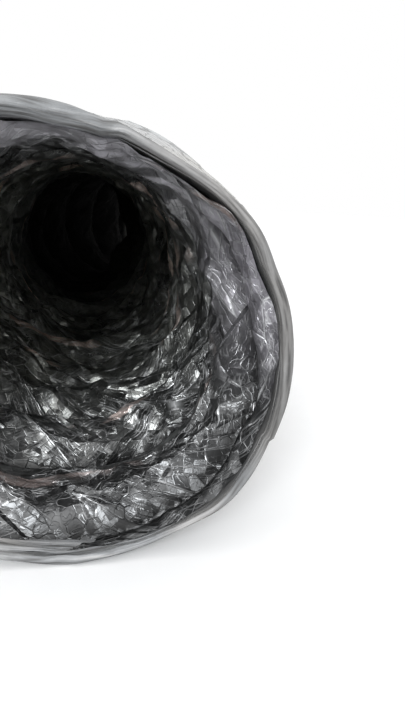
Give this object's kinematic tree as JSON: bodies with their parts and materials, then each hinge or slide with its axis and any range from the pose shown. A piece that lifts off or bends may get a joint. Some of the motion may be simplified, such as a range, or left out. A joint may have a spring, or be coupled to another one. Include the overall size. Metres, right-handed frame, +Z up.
{
  "type": "flexible air duct",
  "caption": "Flexible round air duct with a crinkled foil liner, a sprung wire helix and a soft grey jacket hemmed at both ends; it stretches, shortens and bends.",
  "frame": {"origin": "on the floor, under the middle of the duct's bounding box", "axes": "the open mouth faces -Y and the straight part runs along +Y, +X is the side that the tail curves to, +Z up"},
  "size_m": [0.1767, 0.5113, 0.1059],
  "materials": {
    "jacket_grey": "satin",
    "liner_foil": "satin",
    "spring_wire": "satin",
    "clear_tape": "gloss"
  },
  "bodies": {
    "turn_01": {"wire_turn_01": "spring_wire", "liner_01": "liner_foil", "mouth_cuff": "jacket_grey", "mouth_fold": "jacket_grey", "mouth_tape": "clear_tape"},
    "wall_01": {"jacket_01": "jacket_grey"},
    "turn_02": {"wire_turn_02": "spring_wire", "liner_02": "liner_foil"},
    "wall_02": {"jacket_02": "jacket_grey"},
    "turn_03": {"wire_turn_03": "spring_wire", "liner_03": "liner_foil"},
    "wall_03": {"jacket_03": "jacket_grey"},
    "turn_04": {"wire_turn_04": "spring_wire", "liner_04": "liner_foil"},
    "wall_04": {"jacket_04": "jacket_grey"},
    "turn_05": {"wire_turn_05": "spring_wire", "liner_05": "liner_foil"},
    "wall_05": {"jacket_05": "jacket_grey"},
    "turn_06": {"wire_turn_06": "spring_wire", "liner_06": "liner_foil"},
    "wall_06": {"jacket_06": "jacket_grey"},
    "turn_07": {"wire_turn_07": "spring_wire", "liner_07": "liner_foil"},
    "wall_07": {"jacket_07": "jacket_grey"},
    "turn_08": {"wire_turn_08": "spring_wire", "liner_08": "liner_foil"},
    "wall_08": {"jacket_08": "jacket_grey"},
    "turn_09": {"wire_turn_09": "spring_wire", "liner_09": "liner_foil"},
    "wall_09": {"jacket_09": "jacket_grey"},
    "turn_10": {"wire_turn_10": "spring_wire", "liner_10": "liner_foil"},
    "wall_10": {"jacket_10": "jacket_grey"},
    "turn_11": {"wire_turn_11": "spring_wire", "liner_11": "liner_foil"},
    "wall_11": {"jacket_11": "jacket_grey"},
    "turn_12": {"wire_turn_12": "spring_wire", "liner_12": "liner_foil"},
    "wall_12": {"jacket_12": "jacket_grey"},
    "turn_13": {"wire_turn_13": "spring_wire", "liner_13": "liner_foil"},
    "wall_13": {"jacket_13": "jacket_grey"},
    "turn_14": {"wire_turn_14": "spring_wire", "liner_14": "liner_foil", "jacket_14": "jacket_grey", "tail_cuff": "jacket_grey", "tail_fold": "jacket_grey"}
  },
  "joints": [
    {"name": "stretch", "type": "slide", "parent": "turn_01", "child": "wall_01", "axis": [0, 1, 0], "range_m": [-0.012, 0.002], "deforming": ["jacket_01", "liner_01"]},
    {"name": "bend_side", "type": "hinge", "parent": "wall_01", "child": "turn_02", "pos_m": [-0.03598, -0.20794, 0.05265], "axis": [0, 0, -1], "range_deg": [-9, 9]},
    {"name": "stretch_02", "type": "slide", "parent": "turn_02", "child": "wall_02", "axis": [0, 1, 0], "range_m": [-0.012, 0.002], "deforming": ["jacket_02", "liner_02"]},
    {"name": "bend_up", "type": "hinge", "parent": "wall_02", "child": "turn_03", "pos_m": [-0.03598, -0.17394, 0.05265], "axis": [1, 0, 0], "range_deg": [0, 9]},
    {"name": "stretch_03", "type": "slide", "parent": "turn_03", "child": "wall_03", "axis": [0, 1, 0], "range_m": [-0.012, 0.002], "deforming": ["jacket_03", "liner_03"]},
    {"name": "bend_side_04", "type": "hinge", "parent": "wall_03", "child": "turn_04", "pos_m": [-0.03598, -0.13994, 0.05265], "axis": [0, 0, -1], "range_deg": [-9, 9]},
    {"name": "stretch_04", "type": "slide", "parent": "turn_04", "child": "wall_04", "axis": [0, 1, 0], "range_m": [-0.012, 0.002], "deforming": ["jacket_04", "liner_04"]},
    {"name": "bend_up_05", "type": "hinge", "parent": "wall_04", "child": "turn_05", "pos_m": [-0.03598, -0.10594, 0.05265], "axis": [1, 0, 0], "range_deg": [0, 9]},
    {"name": "stretch_05", "type": "slide", "parent": "turn_05", "child": "wall_05", "axis": [0, 1, 0], "range_m": [-0.012, 0.002], "deforming": ["jacket_05", "liner_05"]},
    {"name": "bend_side_06", "type": "hinge", "parent": "wall_05", "child": "turn_06", "pos_m": [-0.03598, -0.07194, 0.05265], "axis": [0, 0, -1], "range_deg": [-9, 9]},
    {"name": "stretch_06", "type": "slide", "parent": "turn_06", "child": "wall_06", "axis": [0, 1, 0], "range_m": [-0.012, 0.002], "deforming": ["jacket_06", "liner_06"]},
    {"name": "bend_up_07", "type": "hinge", "parent": "wall_06", "child": "turn_07", "pos_m": [-0.03598, -0.03794, 0.05265], "axis": [1, 0, 0], "range_deg": [0, 9]},
    {"name": "stretch_07", "type": "slide", "parent": "turn_07", "child": "wall_07", "axis": [0, 1, 0], "range_m": [-0.012, 0.002], "deforming": ["jacket_07", "liner_07"]},
    {"name": "bend_side_08", "type": "hinge", "parent": "wall_07", "child": "turn_08", "pos_m": [-0.03598, -0.00394, 0.05265], "axis": [0, 0, -1], "range_deg": [-9, 9]},
    {"name": "stretch_08", "type": "slide", "parent": "turn_08", "child": "wall_08", "axis": [0, 1, 0], "range_m": [-0.012, 0.002], "deforming": ["jacket_08", "liner_08"]},
    {"name": "bend_up_09", "type": "hinge", "parent": "wall_08", "child": "turn_09", "pos_m": [-0.03598, 0.03006, 0.05265], "axis": [1, 0, 0], "range_deg": [0, 9]},
    {"name": "stretch_09", "type": "slide", "parent": "turn_09", "child": "wall_09", "axis": [0, 1, 0], "range_m": [-0.012, 0.002], "deforming": ["jacket_09", "liner_09"]},
    {"name": "bend_side_10", "type": "hinge", "parent": "wall_09", "child": "turn_10", "pos_m": [-0.03598, 0.06406, 0.05265], "axis": [0, 0, -1], "range_deg": [-6.3, 6.3]},
    {"name": "stretch_10", "type": "slide", "parent": "turn_10", "child": "wall_10", "axis": [0.1045, 0.9945, 0], "range_m": [-0.0072, 0.0012], "deforming": ["jacket_10", "liner_10"]},
    {"name": "bend_up_11", "type": "hinge", "parent": "wall_10", "child": "turn_11", "pos_m": [-0.03243, 0.09781, 0.05265], "axis": [0.9781, -0.2079, 0], "range_deg": [0, 9]},
    {"name": "stretch_11", "type": "slide", "parent": "turn_11", "child": "wall_11", "axis": [0.309, 0.9511, 0], "range_m": [-0.0072, 0.0012], "deforming": ["jacket_11", "liner_11"]},
    {"name": "bend_side_12", "type": "hinge", "parent": "wall_11", "child": "turn_12", "pos_m": [-0.02195, 0.13009, 0.05265], "axis": [0, 0, -1], "range_deg": [-6.3, 6.3]},
    {"name": "stretch_12", "type": "slide", "parent": "turn_12", "child": "wall_12", "axis": [0.5, 0.866, 0], "range_m": [-0.0072, 0.0012], "deforming": ["jacket_12", "liner_12"]},
    {"name": "bend_up_13", "type": "hinge", "parent": "wall_12", "child": "turn_13", "pos_m": [-0.00498, 0.15948, 0.05265], "axis": [0.809, -0.5878, 0], "range_deg": [0, 9]},
    {"name": "stretch_13", "type": "slide", "parent": "turn_13", "child": "wall_13", "axis": [0.6691, 0.7431, 0], "range_m": [-0.0072, 0.0012], "deforming": ["jacket_13", "liner_13", "jacket_14", "liner_14"]},
    {"name": "bend_side_14", "type": "hinge", "parent": "wall_13", "child": "turn_14", "pos_m": [0.01773, 0.1847, 0.05265], "axis": [0, 0, -1], "range_deg": [-6.3, 6.3]}
  ],
  "couplings": [
    {"joint": "stretch_02", "follows": "stretch", "ratio": 1},
    {"joint": "stretch_03", "follows": "stretch", "ratio": 1},
    {"joint": "bend_side_04", "follows": "bend_side", "ratio": 1},
    {"joint": "stretch_04", "follows": "stretch", "ratio": 1},
    {"joint": "bend_up_05", "follows": "bend_up", "ratio": 1},
    {"joint": "stretch_05", "follows": "stretch", "ratio": 1},
    {"joint": "bend_side_06", "follows": "bend_side", "ratio": 1},
    {"joint": "stretch_06", "follows": "stretch", "ratio": 1},
    {"joint": "bend_up_07", "follows": "bend_up", "ratio": 1},
    {"joint": "stretch_07", "follows": "stretch", "ratio": 1},
    {"joint": "bend_side_08", "follows": "bend_side", "ratio": 1},
    {"joint": "stretch_08", "follows": "stretch", "ratio": 1},
    {"joint": "bend_up_09", "follows": "bend_up", "ratio": 1},
    {"joint": "stretch_09", "follows": "stretch", "ratio": 1},
    {"joint": "bend_side_10", "follows": "bend_side", "ratio": 0.7},
    {"joint": "stretch_10", "follows": "stretch", "ratio": 0.6},
    {"joint": "bend_up_11", "follows": "bend_up", "ratio": 1},
    {"joint": "stretch_11", "follows": "stretch", "ratio": 0.6},
    {"joint": "bend_side_12", "follows": "bend_side", "ratio": 0.7},
    {"joint": "stretch_12", "follows": "stretch", "ratio": 0.6},
    {"joint": "bend_up_13", "follows": "bend_up", "ratio": 1},
    {"joint": "stretch_13", "follows": "stretch", "ratio": 0.6},
    {"joint": "bend_side_14", "follows": "bend_side", "ratio": 0.7}
  ]
}
